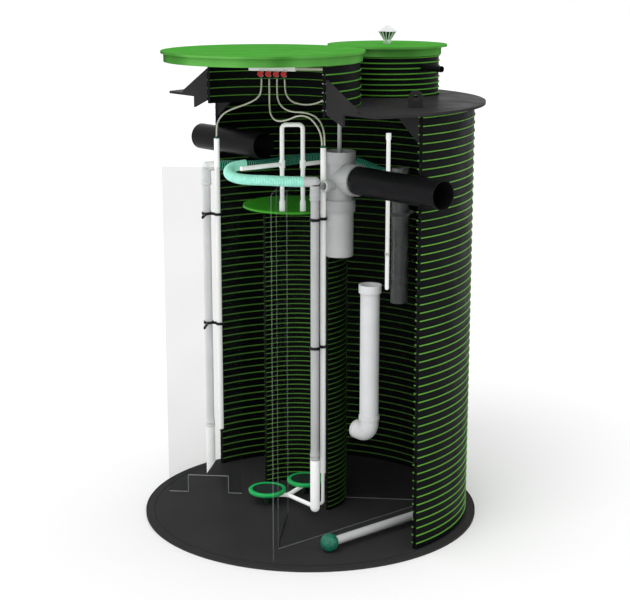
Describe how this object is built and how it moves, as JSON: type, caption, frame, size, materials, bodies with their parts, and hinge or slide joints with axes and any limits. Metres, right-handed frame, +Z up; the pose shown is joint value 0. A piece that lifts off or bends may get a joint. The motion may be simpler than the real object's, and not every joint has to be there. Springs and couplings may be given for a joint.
{
  "type": "packaged sewage treatment plant (half section)",
  "caption": "Packaged sewage treatment plant in section: ribbed round tank with lidded risers, inner chamber, air lifts, tee, hoses and clear partitions.",
  "frame": {"origin": "centre of the base plate's underside, on the tank's axis", "axes": "+X from inlet to outlet, +Y into the kept half of the tank, +Z up"},
  "size_m": [2.205, 2.0119, 2.866],
  "materials": {
    "tank_black": "black ribbed polyethylene",
    "plate_grey": "dark grey sheet, satin",
    "lid_green": "bright green, satin",
    "vent_chrome": "polished",
    "pipe_black": "black pipe, satin",
    "pipe_grey": "light grey pipe",
    "pipe_dark_grey": "mid grey pipe",
    "pipe_white": "white pipe",
    "clear_sheet": "clear sheet",
    "diffuser_green": "emerald rim",
    "membrane_rubber": "dark membrane",
    "fitting_teal": "dark teal green",
    "knob_red": "red",
    "clip_black": "black",
    "hose_cream": "cream flexible tube",
    "hose_mint": "pale mint ribbed hose",
    "hose_green": "green ribbed hose"
  },
  "bodies": {
    "root": {"base_plate": "plate_grey", "tank_wall": "tank_black", "top_disc": "plate_grey", "main_riser": "tank_black", "main_lid": "lid_green", "small_riser": "tank_black", "small_lid": "lid_green", "vent_cage": "vent_chrome", "vent_cone": "vent_chrome", "riser_stub": "pipe_black", "lifting_lug": "plate_grey", "gussets": "plate_grey", "inlet_pipe": "pipe_black", "outlet_pipe": "pipe_black", "outlet_tee": "pipe_grey", "drop_pipe": "pipe_grey", "sampling_pipe": "pipe_grey", "inner_chamber": "tank_black", "chamber_cover": "lid_green", "cover_frame": "pipe_white", "front_left_sheet": "clear_sheet", "front_right_sheet": "clear_sheet", "back_right_sheet": "clear_sheet", "cross_sheet": "clear_sheet", "transfer_pipe": "pipe_white", "transfer_elbow": "pipe_white", "sludge_pipe": "pipe_dark_grey", "level_pipe": "pipe_white", "front_lift_pipe": "pipe_grey", "front_lift_fitting": "pipe_grey", "front_lift_foot": "pipe_white", "front_air_pipe": "pipe_white", "left_lift_pipe": "pipe_grey", "left_lift_fitting": "pipe_grey", "left_lift_foot": "pipe_white", "left_air_pipe": "pipe_white", "lift_clips": "clip_black", "back_clips": "clip_black", "diffusers": "diffuser_green", "membranes": "membrane_rubber", "diffuser_feed": "pipe_white", "floor_pipe": "pipe_grey", "floor_pipe_saddle": "pipe_grey", "strainer": "fitting_teal", "air_manifold": "pipe_white", "valves": "pipe_white", "valve_knobs": "knob_red", "hose_connectors": "fitting_teal", "supply_pipe": "hose_cream", "air_hose_1": "hose_cream", "air_hose_2": "hose_cream", "air_hose_3": "hose_cream", "air_hose_4": "hose_cream", "return_hose": "hose_mint", "sludge_hose": "hose_green"}
  },
  "joints": []
}
